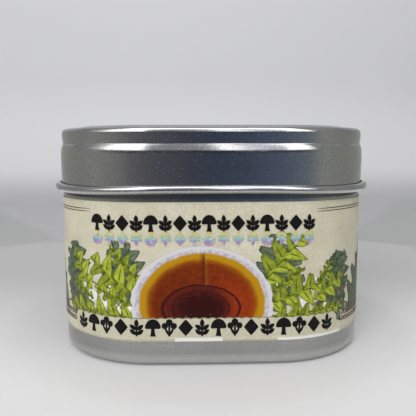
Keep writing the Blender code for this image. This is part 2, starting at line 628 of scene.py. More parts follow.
@dataclass(frozen=True)
class LeafInk:
    """Painted leaf: a dark rib, side veins, a shaded half, paler lobe tips and a thin dark outline."""

    name: str
    deep: Colour
    body: Colour
    light: Colour
    rib_width: float = 0.14

    def material(self) -> bpy.types.Material:
        """Build the material. It reads each point's lobe count, share across and mm across.

        Returns:
            The material.
        """
        bench = Bench(self.name)
        note = bench.add("ShaderNodeAttribute", attribute_name="note")
        split = bench.add("ShaderNodeSeparateXYZ")
        bench.feed(split.inputs[0], note.outputs["Vector"])
        count, across, distance = split.outputs
        tone = bench.math("DIVIDE", bench.math("FLOOR", bench.math("DIVIDE", count, 100.0)), 10.0)
        phase = bench.math("FRACT", count)
        from_vein = bench.math("ABSOLUTE", bench.math("SUBTRACT", phase, 0.5))
        out = bench.math("ABSOLUTE", across)
        brush = bench.noise(bench.place((900, 900, 900)), detail=4.0, roughness=0.6)
        blotch = bench.noise(bench.place((320, 320, 320)), detail=2.0)
        wet = bench.math("MULTIPLY_ADD", brush, 1.9, bench.math("MULTIPLY_ADD", blotch, 0.9, -1.15))
        lit = bench.math("MULTIPLY_ADD", tone, 0.5, bench.math("MULTIPLY_ADD", from_vein, -0.7, 0.45))
        share = bench.smooth(bench.math("ADD", wet, lit), 0.3, 1.2)
        colour = bench.mix(share, self.body, self.light)
        shade = bench.times(bench.smooth(across, -0.15, 0.25), 0.35)
        cleft = bench.times(bench.smooth(from_vein, 0.26, 0.5), 0.75)
        colour = bench.mix(bench.math("MAXIMUM", shade, cleft), colour, self.deep)
        vein = bench.times(bench.smooth(from_vein, 0.08, 0.02), bench.smooth(out, 0.95, 0.3))
        colour = bench.mix(bench.times(vein, 0.8), colour, self.deep)
        rib = bench.smooth(distance, self.rib_width, self.rib_width * 0.5)
        edge = bench.times(bench.smooth(out, 0.72, 0.98), 0.9)
        colour = bench.mix(bench.times(bench.math("MAXIMUM", rib, edge), 0.75), colour, self.deep)
        tooth = bench.noise(bench.place((6000, 6000, 6000)))
        return bench.done(Base_Color=colour, Roughness=0.5, Specular_IOR_Level=0.12,
                          Normal=bench.bump(tooth, 0.006 * MM))


@dataclass(frozen=True)
class RainbowInk:
    """Pale ink that runs through the rainbow from the top of a row of figures to its foot."""

    name: str
    foot: float
    top: float
    tints: tuple[Colour, ...] = (
        (0.52, 0.25, 0.32), (0.34, 0.21, 0.40), (0.23, 0.25, 0.43), (0.28, 0.44, 0.44),
        (0.34, 0.46, 0.27), (0.54, 0.50, 0.18), (0.58, 0.36, 0.16),
    )

    def material(self) -> bpy.types.Material:
        """Build the material. It reads the height above the floor.

        Returns:
            The material.
        """
        bench = Bench(self.name)
        place = bench.place((1.0, 1.0, 1.0))
        split = bench.add("ShaderNodeSeparateXYZ")
        bench.feed(split.inputs[0], place)
        share = bench.add("ShaderNodeMapRange")
        bench.feed(share.inputs["Value"], split.outputs["Z"])
        share.inputs["From Min"].default_value = self.foot
        share.inputs["From Max"].default_value = self.top
        ramp = bench.add("ShaderNodeValToRGB")
        bench.feed(ramp.inputs["Fac"], share.outputs["Result"])
        elements = ramp.color_ramp.elements
        elements[0].color = (*self.tints[0], 1.0)
        elements[1].color = (*self.tints[-1], 1.0)
        for number, tint in enumerate(self.tints[1:-1], start=1):
            elements.new(number / (len(self.tints) - 1)).color = (*tint, 1.0)
        mottle = bench.noise(bench.place((1500, 1500, 1500)), detail=3.0)
        colour = bench.mix(bench.smooth(mottle, 0.5, 0.8), ramp.outputs["Color"], (0.66, 0.62, 0.52))
        return bench.done(Base_Color=colour, Roughness=0.5, Specular_IOR_Level=0.12)


@dataclass(frozen=True)
class CapInk:
    """Glossy bracket-fungus cap seen from above: pale rim, gold ring, russet rings, dark hollow."""

    name: str = "bracket_cap_inks"
    rim: Colour = (0.61, 0.58, 0.62)
    rim_shade: Colour = (0.36, 0.35, 0.40)
    gold: Colour = (0.43, 0.225, 0.005)
    amber: Colour = (0.29, 0.08, 0.004)
    russet: Colour = (0.23, 0.034, 0.003)
    bark: Colour = (0.10, 0.014, 0.003)
    hollow: Colour = (0.10, 0.013, 0.007)
    pit: Colour = (0.03, 0.0045, 0.005)
    ember: Colour = (0.34, 0.038, 0.006)

    def material(self) -> bpy.types.Material:
        """Build the material. It reads the shares out to the rim and the hollow's edge, and mm across.

        Returns:
            The material.
        """
        bench = Bench(self.name)
        note = bench.add("ShaderNodeAttribute", attribute_name="note")
        split = bench.add("ShaderNodeSeparateXYZ")
        bench.feed(split.inputs[0], note.outputs["Vector"])
        out, inner, across = split.outputs
        wander = bench.noise(bench.place((260, 260, 260)), detail=4.0, roughness=0.6)
        grain = bench.noise(bench.place((1100, 1100, 1100)), detail=3.0)
        out = bench.math("MULTIPLY_ADD", wander, 0.07, bench.math("SUBTRACT", out, 0.035))
        inner = bench.math("MULTIPLY_ADD", wander, 0.14, bench.math("SUBTRACT", inner, 0.07))
        rings = bench.math("SINE", bench.times(out, 170.0))
        fine = bench.math("MULTIPLY_ADD", rings, 0.12, grain)
        colour = bench.mix(bench.smooth(fine, 0.2, 0.75), self.bark, self.russet)
        leftish = bench.times(bench.smooth(across, 2.0, -6.0), 0.4)
        colour = bench.mix(leftish, colour, self.bark)
        ember = bench.times(bench.smooth(across, 1.0, 9.0), bench.smooth(inner, 1.9, 1.0))
        colour = bench.mix(bench.times(ember, 0.55), colour, self.ember)
        colour = bench.mix(bench.smooth(out, 0.66, 0.80), colour, self.amber)
        colour = bench.mix(bench.smooth(out, 0.74, 0.82), colour, self.gold)
        haze = bench.mix(bench.smooth(grain, 0.3, 0.7), self.rim, self.rim_shade)
        rim_tone = bench.mix(bench.smooth(out, 0.92, 0.97), haze, self.rim)
        colour = bench.mix(bench.smooth(out, 0.865, 0.905), colour, rim_tone)
        pit = bench.mix(bench.smooth(bench.math("ADD", grain, inner), 0.9, 1.5), self.pit, self.hollow)
        warm = bench.times(bench.smooth(across, 2.0, 8.0), bench.smooth(inner, 0.55, 0.95))
        pit = bench.mix(bench.times(warm, 0.6), pit, self.ember)
        colour = bench.mix(bench.smooth(inner, 1.03, 0.98), colour, pit)
        lip = bench.smooth(bench.math("ABSOLUTE", bench.math("SUBTRACT", inner, 1.0)), 0.055, 0.02)
        colour = bench.mix(bench.times(lip, 0.85), colour, self.pit)
        core = bench.smooth(bench.math("ABSOLUTE", bench.math("SUBTRACT", inner, 0.73)), 0.05, 0.01)
        colour = bench.mix(bench.times(core, 0.6), colour, self.pit)
        outside = bench.smooth(inner, 0.97, 1.05)
        from_crease = bench.math("SUBTRACT", across, bench.math("MULTIPLY_ADD", wander, 0.5, 0.35))
        ringed = bench.times(outside, bench.smooth(out, 0.93, 0.80))
        past = bench.smooth(from_crease, 0.0, 0.12)
        left_side = bench.times(bench.smooth(from_crease, -1.5, -0.05), bench.math("SUBTRACT", 1.0, past))
        right_side = bench.times(past, bench.smooth(from_crease, 1.3, 0.1))
        colour = bench.mix(bench.times(bench.times(left_side, ringed), 0.85), colour, self.hollow)
        colour = bench.mix(bench.times(bench.times(right_side, ringed), 0.14), colour, self.gold)
        specks = bench.noise(bench.place((1900, 1900, 1900)), detail=1.0)
        glint = bench.times(bench.smooth(specks, 0.76, 0.83), bench.smooth(inner, 1.3, 0.9))
        colour = bench.mix(glint, colour, self.rim)
        return bench.done(Base_Color=colour, Roughness=0.42, Specular_IOR_Level=0.06)


@dataclass(frozen=True)
class StudioMatt:
    """Matt board, pale in front, greyed behind the tin by painted shade, and a little paler again up the
    wall.
    """

    name: str = "pale_board"
    near: Colour = (0.785, 0.785, 0.795)
    far: Colour = (0.45, 0.45, 0.455)
    high: Colour = (0.68, 0.68, 0.70)

    def material(self) -> bpy.types.Material:
        """Build the material.

        Returns:
            The material.
        """
        bench = Bench(self.name)
        split = bench.add("ShaderNodeSeparateXYZ")
        bench.feed(split.inputs[0], bench.place((1.0, 1.0, 1.0)))
        # painted shade: the floor greys from the near tone to the far tone behind the tin
        colour = bench.mix(bench.smooth(split.outputs["Y"], -0.05, 0.06), self.near, self.far)
        colour = bench.mix(bench.smooth(split.outputs["Z"], 0.0, 0.03), colour, self.high)
        return bench.done(Base_Color=colour, Roughness=0.6)


# ---------------------------------------------------------------- the tin


def dress(thing: bpy.types.Object, material: bpy.types.Material) -> None:
    """Give a piece its material, let it ride on the tin, and log its triangle count.

    Args:
        thing: the piece.
        material: its finish.
    """
    thing.data.materials.append(material)
    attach(thing, "root")
    triangles = sum(len(face.vertices) - 2 for face in thing.data.polygons)
    LOG.info("%s: %d triangles before its wall", thing.name, triangles)


@dataclass(frozen=True)
class TinBody:
    """Seamless body: base panel, standing ring, round base edge, wall and curled-in rim."""

    plan: TinPlan
    rim_height: float
    sheet: float = 0.25 * MM
    base_edge_radius: float = 2.0 * MM
    ring_inner: float = 4.4 * MM
    panel_edge: float = 6.0 * MM
    panel_rise: float = 0.6 * MM
    curl_radius: float = 0.6 * MM

    def section(self) -> Section:
        """Outer face of the sheet, from the base panel's edge to the end of the rim's curl.

        Returns:
            The section.
        """
        panel = [
            (-self.panel_edge - 1.0 * MM, self.panel_rise, 0.0),
            (-self.panel_edge, self.panel_rise, 0.8 * MM),
            (-self.ring_inner, 0.0, 0.8 * MM),
            (0.0, 0.0, self.base_edge_radius),
        ]
        centre = (-self.curl_radius, self.rim_height - self.curl_radius)
        return Section(tuple(panel + arc_path(centre, self.curl_radius, 0, 225)), 0.34 * MM)

    def build(self, finish: Tinplate) -> bpy.types.Object:
        """Build and dress the body, which stands for its plain solid.

        Args:
            finish: the piece's finish.

        Returns:
            The piece.
        """
        marks = PressMarks(0.05 * MM, 3)
        body = drawn_sheet("drawn_body", self.plan, self.section(), marks)
        thicken(body, self.sheet, -1.0)
        dress(body, finish.material())
        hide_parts("tin_body")
        return body


@dataclass(frozen=True)
class SlipLid:
    """Lid pressed from one sheet, as heights above the floor and offsets from the body's wall."""

    plan: TinPlan
    top_height: float
    foot_height: float
    sheet: float = 0.25 * MM
    shoulder_height: float = 53.8 * MM
    shoulder_radius: float = 1.0 * MM
    panel_edge: float = -5.0 * MM
    band_clearance: float = -0.05 * MM
    band_lean: float = 0.22 * MM
    crease_height: float = 50.05 * MM
    skirt_clearance: float = 0.35 * MM
    skirt_taper: float = 0.1 * MM
    flare_depth: float = 0.62 * MM
    flare_fade: float = 0.85 * MM
    bead_radius: float = 0.86 * MM
    foot_droop: float = 0.1 * MM
    corner_droop: float = 0.5 * MM

    def band(self) -> list:
        """Band from the shoulder to the crease, which leans in as the square of the way down.

        Returns:
            Section corners with no bend.
        """
        start = self.shoulder_height - self.sheet - self.shoulder_radius
        share = np.linspace(0, 1, 16)
        height = start + share * (self.crease_height - start)
        return [(self.band_clearance - self.band_lean * s * s, z, 0.0) for s, z in zip(share, height)]

    def skirt(self, foot: float) -> list:
        """Skirt below the crease, which flares out to its full width as an exponential of the depth.

        Args:
            foot: height where the skirt meets the bead.

        Returns:
            Section corners with no bend.
        """
        depth = np.linspace(0.06 * MM, self.crease_height - foot, 60)
        flare = self.skirt_clearance - self.flare_depth * np.exp(-depth / self.flare_fade)
        taper = self.skirt_taper * (depth / depth[-1]) ** 2
        return [(o, self.crease_height - d, 0.0) for o, d in zip(flare - taper, depth)]

    def section(self) -> Section:
        """Inner face of the sheet, from the panel's edge to the end of the bead's roll.

        Returns:
            The section.
        """
        panel = self.top_height - self.sheet
        trough = self.shoulder_height - self.sheet - 0.15 * MM
        shoulder = self.shoulder_height - self.sheet
        inner = self.band_clearance - self.shoulder_radius
        rise = [
            (self.panel_edge - 1.0 * MM, panel, 0.0),
            (self.panel_edge + 0.2 * MM, panel, 0.9 * MM),
            (self.panel_edge + 1.4 * MM, trough, 0.9 * MM),
            (inner - 1.3 * MM, trough, 1.5 * MM),
            (inner - 0.1 * MM, shoulder, 0.5 * MM),
        ]
        round_over = arc_path((inner, shoulder - self.shoulder_radius), self.shoulder_radius, 88, 2)
        bead_height = self.foot_height + self.bead_radius
        bead_offset = self.skirt_clearance - self.skirt_taper + self.bead_radius
        bead = arc_path((bead_offset, bead_height), self.bead_radius, 180, 470)
        return Section(tuple(rise + round_over + self.band() + self.skirt(bead_height + 0.1 * MM) + bead))

    def droop(self, lid: bpy.types.Object) -> None:
        """Lower the foot, most at the corners, as pressing leaves it.

        The drop is foot_droop plus corner_droop times the fourth power of the sine of twice the bearing,
        times the square of the share of the way down from the crease to the foot.

        Args:
            lid: the lid, whose points are moved.
        """
        points = np.empty(len(lid.data.vertices) * 3, np.float32)
        lid.data.vertices.foreach_get("co", points)
        points = points.reshape(-1, 3)
        share = np.clip((self.crease_height - points[:, 2]) / (self.crease_height - self.foot_height), 0, 1)
        bearing = np.arctan2(points[:, 0], points[:, 1])
        points[:, 2] -= share**2 * (self.foot_droop + self.corner_droop * np.sin(2 * bearing) ** 4)
        lid.data.vertices.foreach_set("co", points.ravel())
        lid.data.update()

    def build(self, finish: Tinplate) -> bpy.types.Object:
        """Build and dress the lid, which stands for its plain solid.

        Args:
            finish: the piece's finish.

        Returns:
            The piece.
        """
        lid = drawn_sheet("pressed_lid", self.plan, self.section(), PressMarks(0.05 * MM, 8))
        self.droop(lid)
        thicken(lid, self.sheet, 1.0)
        dress(lid, finish.material())
        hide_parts("slip_lid")
        return lid


@dataclass(frozen=True)
class PaperLabel:
    """Paper wrapped round the wall, its ends butted at the back."""

    plan: TinPlan
    bottom: float
    top: float
    lift: float = 0.07 * MM
    paper: float = 0.12 * MM
    end_gap: float = 2.5 * MM

    def face(self) -> float:
        """Offset of the paper's printed face from the wall."""
        return self.lift + self.paper

    def wrap(self, run: Array, height: Array, lift: float) -> Array:
        """Points on the label.

        Args:
            run: distance along the label from the middle of the front, to the right.
            height: height above the floor.
            lift: distance out from the printed face.

        Returns:
            Positions.
        """
        return self.plan.place(self.plan.angle_at(run, self.face()), self.face() + lift, height)

    def half_run(self) -> float:
        """Distance along the label from the middle of the front to one end.

        Returns:
            The distance in metres.
        """
        side_radius, _ = self.plan.arcs()
        turn = self.plan.side_turn
        side = 2 * turn * (side_radius + self.face())
        corner = (pi / 2 - 2 * turn) * (self.plan.corner_radius + self.face())
        return 2 * (side + corner) - self.end_gap / 2

    def build(self, finish: LabelPaper) -> bpy.types.Object:
        """Build and dress the label, which stands for its plain solid.

        Args:
            finish: the piece's finish.

        Returns:
            The piece.
        """
        runs = np.linspace(-self.half_run(), self.half_run(), 420)
        heights = np.linspace(self.bottom, self.top, 40)
        points = self.wrap(runs[None, :], heights[:, None], -self.paper)
        quads = grid_quads(len(heights), len(runs), False)
        label = mesh_object("wrapped_label", points.reshape(-1, 3), quads)
        thicken(label, self.paper, 1.0)
        dress(label, finish.material())
        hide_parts("paper_label")
        return label


# ---------------------------------------------------------------- print


@dataclass(frozen=True)
class Ribbon:
    """Printed patch: a grid of (run, height) points in metres, with a drawing note on each point.

    A note is three numbers that the ink's material reads, such as how far along and across it is.
    """

    grid: Array
    notes: Array

    def moved(self, run: float, height: float, squash: float, narrow: float) -> "Ribbon":
        """The same patch scaled about zero by squash up and narrow across, then moved."""
        return Ribbon(self.grid * np.array([narrow, squash]) + np.array([run, height]), self.notes)


def ribbon(path: Array, half: Array, columns: int, sweep: float = 0.0) -> Ribbon:
    """Patch between the two edges of a stroke.

    A point is the path's point, plus its normal times the share across and the half width there,
    plus its direction times sweep and the distance from the path, which leans lobes forward. Along
    each column no point falls behind the one before, so the patch doesn't fold.

    Args:
        path: points of the middle line.
        half: half width at each point, or a pair for the left and right side.
        columns: points across.
        sweep: forward lean of the edges.

    Returns:
        The patch; its notes are the share along, the share across and the distance across in mm.
    """
    steps = np.gradient(path, axis=0)
    along = steps / np.linalg.norm(steps, axis=1, keepdims=True)
    normal = np.stack([-along[:, 1], along[:, 0]], axis=-1)
    across = np.linspace(-1, 1, columns)
    sides = half if half.ndim == 2 else np.stack([half, half], axis=-1)
    reach = np.where(across[None, :] < 0, sides[:, :1], sides[:, 1:]) * np.abs(across)[None, :]
    signed = reach * np.sign(across)
    run = np.cumsum(np.linalg.norm(steps, axis=1))[:, None]
    ahead = np.maximum.accumulate(run + sweep * reach, axis=0) + 0.0005 * MM * np.arange(len(path))[:, None]
    grid = path[:, None] + signed[..., None] * normal[:, None] + (ahead - run)[..., None] * along[:, None]
    share = np.linspace(0, 1, len(path))[:, None]
    notes = np.stack(np.broadcast_arrays(share, across[None, :], reach / MM), axis=-1)
    return Ribbon(grid, notes)


def lens(start: tuple[float, float], heading: float, length: float, half: float, steps: int = 24) -> Ribbon:
    """Plain pointed leaflet: its half width is a half sine of the way along. Sizes in mm.

    Args:
        start: foot of the leaflet.
        heading: its direction in radians.
        length: its length.
        half: its greatest half width.
        steps: number of points along it.

    Returns:
        The patch.
    """
    share = np.linspace(0, 1, steps)[:, None]
    way = np.array([np.cos(heading), np.sin(heading)])
    width = np.maximum(half * np.sin(pi * share[:, 0]) ** 0.8, 0.03)
    return ribbon((np.array(start) + share * length * way) * MM, width * MM, 4)


@dataclass(frozen=True)
class LeafForm:
    """Outline of a lobed leaf.

    The half width along the rib is a swelling that is thickest where the way along, raised to blunt,
    is one half, times a row of lobes. A lobe is one less a raised cosine of the distance from its
    middle, raised to roundness, and small teeth ride on it. The lobes of the left side start half a
    lobe later.
    """

    lobes: float
    depth: float
    breadth: float
    sweep: float
    roundness: float = 1.6
    blunt: float = 0.8
    teeth: float = 0.08
    steps: int = 90

    def draw(self, start: tuple, heading: float, length: float, curl: float, tone: float) -> Ribbon:
        """Draw one leaf.

        The rib's direction turns evenly by curl from base to tip, and its points are the running sum
        of that direction.

        Args:
            start: foot of the leaf in mm.
            heading: direction of the rib's middle in degrees, 0 to the right and 90 up.
            length: length of the rib in mm.
            curl: how far the rib turns in degrees.
            tone: lightness from 0 to 1, kept in the notes.

        Returns:
            The patch; its notes are the count of lobes with the tone, the share across, and mm across.
        """
        share = np.linspace(0, 1, self.steps)
        turn = np.radians(heading + curl * (share - 0.5))
        way = np.stack([np.cos(turn), np.sin(turn)], axis=-1) * length / (self.steps - 1)
        path = (np.array(start) + np.cumsum(way, axis=0)) * MM
        swell = np.sin(pi * share**self.blunt) ** 0.7
        sides = []
        for shift in (0.0, 0.5):
            saw = np.abs(2 * ((self.lobes * share + shift) % 1) - 1)
            tooth = np.abs(2 * ((3 * self.lobes * share) % 1) - 1)
            lobe = 1 - self.depth * (0.5 - 0.5 * np.cos(pi * saw)) ** self.roundness - self.teeth * tooth
            sides.append(self.breadth * length * swell * lobe)
        stalk = 0.16 * (1 - share)
        half = np.maximum(np.stack(sides, axis=-1), np.maximum(stalk, 0.03)[:, None]) * MM
        leaf = ribbon(path, half, 10, self.sweep)
        phase = self.lobes * share[:, None] + np.where(leaf.notes[..., 1] < 0, 0.0, 0.5)
        notes = np.stack([phase, leaf.notes[..., 1], leaf.notes[..., 2]], axis=-1)
        notes[..., 0] += 100 * np.round(tone * 10)
        return Ribbon(leaf.grid, notes)


class Leaf(Enum):
    """Kinds of leaf in the print."""

    OAK = LeafForm(lobes=3.9, depth=0.78, breadth=0.37, sweep=0.38, roundness=1.35, teeth=0.14)
    BROAD = LeafForm(lobes=3.4, depth=0.7, breadth=0.34, sweep=0.35, roundness=1.4, teeth=0.14)
    FERN = LeafForm(lobes=4.9, depth=0.76, breadth=0.23, sweep=0.45, roundness=1.3, teeth=0.14)
    FROND = LeafForm(lobes=3.8, depth=0.66, breadth=0.3, sweep=0.35, roundness=1.5, teeth=0.1)
    WILLOW = LeafForm(lobes=9.0, depth=0.1, breadth=0.13, sweep=0.4, roundness=1.0, teeth=0.0, steps=70)
    BUSHY = LeafForm(lobes=4.4, depth=0.42, breadth=0.42, sweep=0.3, roundness=1.4, blunt=1.1, teeth=0.1)
    FINGER = LeafForm(lobes=4.7, depth=0.82, breadth=0.235, sweep=0.42, roundness=1.3, teeth=0.14)
    BUD = LeafForm(lobes=1.0, depth=0.0, breadth=0.23, sweep=0.0, teeth=0.0, steps=50)


@dataclass(frozen=True)
class PrintLayer:
    """One ink's patches, drawn as a film that follows the label's face."""

    name: str
    label: "PaperLabel"
    lift: float
    film: float = 0.004 * MM
    step: float = 0.0004 * MM

    def solid(self, patch: Ribbon, lift: float) -> tuple[Array, Array, Array]:
        """Closed film of one patch: its grid twice, face to face, and a rim round the four edges.

        Args:
            patch: the patch.
            lift: height of the film's back above the label's face.

        Returns:
            Positions, quads and notes.
        """
        grid, notes = patch.grid, patch.notes
        edge_a, edge_b = np.diff(grid, axis=1)[:-1], np.diff(grid, axis=0)[:, :-1]
        if (edge_a[..., 0] * edge_b[..., 1] - edge_a[..., 1] * edge_b[..., 0]).sum() < 0:
            grid, notes = grid[:, ::-1], notes[:, ::-1]
        rows, columns = grid.shape[:2]
        run, height = grid[..., 0], grid[..., 1]
        back = self.label.wrap(run, height, lift).reshape(-1, 3)
        face = self.label.wrap(run, height, lift + self.film).reshape(-1, 3)
        quads = grid_quads(rows, columns, False)
        number = np.arange(rows * columns).reshape(rows, columns)
        loop = np.concatenate([number[0, :-1], number[:-1, -1], number[-1, :0:-1], number[:0:-1, 0]])
        onward = np.roll(loop, -1)
        count = rows * columns
        rim = np.stack([loop, onward, onward + count, loop + count], axis=-1)
        return (np.concatenate([back, face]), np.concatenate([quads[:, ::-1], quads + count, rim]),
                np.tile(notes.reshape(-1, 3), (2, 1)))

    def build(self, patches: list, material: bpy.types.Material) -> bpy.types.Object:
        """Join the patches in one piece, each a hair above the one before, and dress it.

        Args:
            patches: the patches from the back of the picture to its front.
            material: the ink.

        Returns:
            The object.
        """
        points, quads, notes, first = [], [], [], 0
        for number, patch in enumerate(patches):
            solid = self.solid(patch, self.lift + number * self.step)
            points.append(solid[0])
            quads.append(solid[1] + first)
            notes.append(solid[2])
            first += len(solid[0])
        film = mesh_object(self.name, np.concatenate(points), np.concatenate(quads))
        layer = film.data.attributes.new("note", "FLOAT_VECTOR", "POINT")
        layer.data.foreach_set("vector", np.concatenate(notes).astype(np.float32).ravel())
        dress(film, material)
        return film


class Figure(Enum):
    """Kinds of figure in a frieze."""

    TOADSTOOL = "toadstool"
    SPRIG = "sprig"
    LOZENGE = "lozenge"
    BERRIES = "berries"


@dataclass(frozen=True)
class Frieze:
    """Row of bold figures between two ends, in mm along and up the label."""

    start: float
    end: float
    foot: float
    height: float
    count: int
    kinds: tuple[Figure, ...]

    def column(self, low: float, high: float, half: Array, lean: float = 0.0) -> Ribbon:
        """Upright stroke from low to high with a half width at each point, as shares of the height.

        Args:
            low: lower end.
            high: upper end.
            half: half width at each point.
            lean: how far right of the middle it stands.

        Returns:
            The patch.
        """
        share = np.linspace(0, 1, len(half))
        path = np.stack([np.full(len(half), lean), low + (high - low) * share], axis=-1)
        return ribbon(path * self.height * MM, np.maximum(half, 0.005) * self.height * MM, 5)

    def leaflet(self, low: float, heading: float, length: float, half: float) -> Ribbon:
        """Pointed leaflet from the middle line, as shares of the height."""
        size = self.height
        return lens((0.0, low * size), radians(heading), length * size, half * size)

    def figure(self, kind: Figure) -> list:
        """Patches of one figure about the middle of its foot.

        A toadstool is a tapered stem under half an ellipse; a sprig is a stem with leaflets; a lozenge
        is a stroke that widens evenly to its middle; berries are three discs on stalks.

        Args:
            kind: the kind of figure.

        Returns:
            Its patches.
        """
        share = np.linspace(0, 1, 30)
        disc = np.sqrt(np.maximum(1 - (2 * share - 1) ** 2, 0))
        if kind is Figure.TOADSTOOL:
            stem = 0.10 + 0.07 * (1 - share) ** 3
            cap = 0.45 * np.sqrt(1 - share**2) * (0.86 + 0.14 * np.minimum(8 * share, 1))
            return [self.column(0.0, 0.6, stem), self.column(0.44, 1.0, cap)]
        if kind is Figure.LOZENGE:
            return [self.column(0.02, 0.98, 0.42 * (1 - np.abs(2 * share - 1)) ** 0.9)]
        if kind is Figure.BERRIES:
            sides = [self.column(0.42, 0.78, 0.18 * disc, lean) for lean in (-0.25, 0.25)]
            stalks = [self.leaflet(0.02, heading, 0.6, 0.07) for heading in (62, 118)]
            middle = [self.column(0.0, 0.8, np.full(6, 0.06)), self.column(0.62, 1.0, 0.19 * disc)]
            return middle + sides + stalks
        leaflets = [self.leaflet(low, heading, 0.5, 0.125) for low in (0.08, 0.36) for heading in (38, 142)]
        return [self.column(0.0, 0.75, np.full(6, 0.055)), self.leaflet(0.5, 90, 0.5, 0.13)] + leaflets

    def patches(self, squash: float = 1.0, narrow: float = 1.0) -> list:
        """Patches of the whole row; a negative squash hangs it mirrored under its foot."""
        places = np.linspace(self.start, self.end, self.count)
        return [
            patch.moved(place * MM, self.foot * MM, squash, narrow)
            for number, place in enumerate(places)
            for patch in self.figure(self.kinds[number % len(self.kinds)])
        ]


@dataclass(frozen=True)
class CapPicture:
    """Bracket-fungus cap cut off by the ribbon below it, in mm along and up the label."""

    middle: tuple[float, float]
    half_width: float = 15.9
    half_height: float = 13.1
    cut: float = 9.9
    hollow_middle: tuple[float, float] = (-0.2, 13.6)
    hollow_half: tuple[float, float] = (8.6, 5.3)

    def patch(self) -> Ribbon:
        """Outline as an upright stroke, whose half width at a height is the ellipse's.

        The outline wavers by two small sines of the height. The notes are the distance from the middle
        as a share of the ellipse's radius, the same for the hollow's ellipse, and mm to the right.

        Returns:
            The patch.
        """
        top = self.middle[1] + self.half_height
        height = self.cut + (top - self.cut) * np.sin(np.linspace(0, pi / 2, 120))
        share = (height - self.middle[1]) / self.half_height
        half = self.half_width * np.sqrt(np.maximum(1 - share**2, 0))
        waver = [0.16 * np.sin(1.1 * height + turn) + 0.09 * np.sin(2.7 * height + 2 * turn)
                 for turn in (0.4, 2.1)]
        sides = np.stack([half + edge for edge in waver], axis=-1)
        sides = np.maximum(sides, 0.35 * np.sqrt(np.maximum(half, 0) / self.half_width)[:, None]) * MM
        path = np.stack([np.full(len(height), self.middle[0]), height], axis=-1) * MM
        plain = ribbon(path, sides, 90)
        place = plain.grid / MM
        out = np.hypot((place[..., 0] - self.middle[0]) / self.half_width,
                       (place[..., 1] - self.middle[1]) / self.half_height)
        hollow = np.hypot((place[..., 0] - self.middle[0] - self.hollow_middle[0]) / self.hollow_half[0],
                          (place[..., 1] - self.hollow_middle[1]) / self.hollow_half[1])
        return Ribbon(plain.grid, np.stack([out, hollow, place[..., 0] - self.middle[0]], axis=-1))


@dataclass(frozen=True)
class Stroke:
    """Freehand stroke: a straight line with a bow and a wave across it, tapered at its ends."""

    start: tuple[float, float]
    end: tuple[float, float]
    half: float
    bow: float = 0.0
    wave: float = 0.0
    waves: float = 0.0
    phase: float = 0.0
    taper: float = 0.5
    steps: int = 60

    def patch(self) -> Ribbon:
        """Patch of the stroke.

        The line is moved across by bow times a half sine and by wave times a sine; its half width
        falls off at both ends as a half sine raised to taper. Sizes in mm.

        Returns:
            The patch.
        """
        share = np.linspace(0, 1, self.steps)
        start, end = np.array(self.start), np.array(self.end)
        line = start + share[:, None] * (end - start)
        across = np.array([start[1] - end[1], end[0] - start[0]]) / np.hypot(*(end - start))
        shift = self.bow * np.sin(pi * share) + self.wave * np.sin(2 * pi * self.waves * share + self.phase)
        half = np.maximum(self.half * np.sin(pi * share) ** self.taper, 0.02) if self.taper else np.full(
            self.steps, self.half)
        return ribbon((line + shift[:, None] * across) * MM, half * MM, 3)


@dataclass(frozen=True)
class Spray:
    """Leaves that fan out of a row of feet, in mm out from the label's middle and above the floor.

    A leaf's share is its number over the last number. Its foot lies at that share of the row and its
    heading at that share of the turn from first to last. Length and tone swing as the cosine of the
    number times the golden angle, and the curl swaps sides from leaf to leaf.
    """

    kinds: tuple[Leaf, ...]
    count: int
    feet: tuple[tuple[float, float], tuple[float, float]]
    headings: tuple[float, float]
    length: float
    tone: float
    swing: float = 0.14
    curl: float = 10.0

    def patches(self, middle: float, side: int) -> list:
        """Draw the leaves on one side of the label's middle.

        Args:
            middle: place of the middle along the label in mm.
            side: 1 for the right, -1 for the left, whose headings are mirrored.

        Returns:
            The patches, from the first foot to the last.
        """
        leaves = []
        for number, share in enumerate(np.linspace(0, 1, self.count)):
            out, height = (first + (last - first) * share for first, last in zip(*self.feet))
            heading = self.headings[0] + (self.headings[1] - self.headings[0]) * share
            beat = np.cos(GOLDEN_ANGLE * (number + 2 * side))
            kind = self.kinds[(number + (side < 0)) % len(self.kinds)]
            leaves.append(kind.value.draw(
                (middle + side * out, height), heading if side > 0 else 180 - heading,
                self.length * (1 + self.swing * beat), side * self.curl * (-1) ** number,
                self.tone + 0.3 * beat))
        return leaves


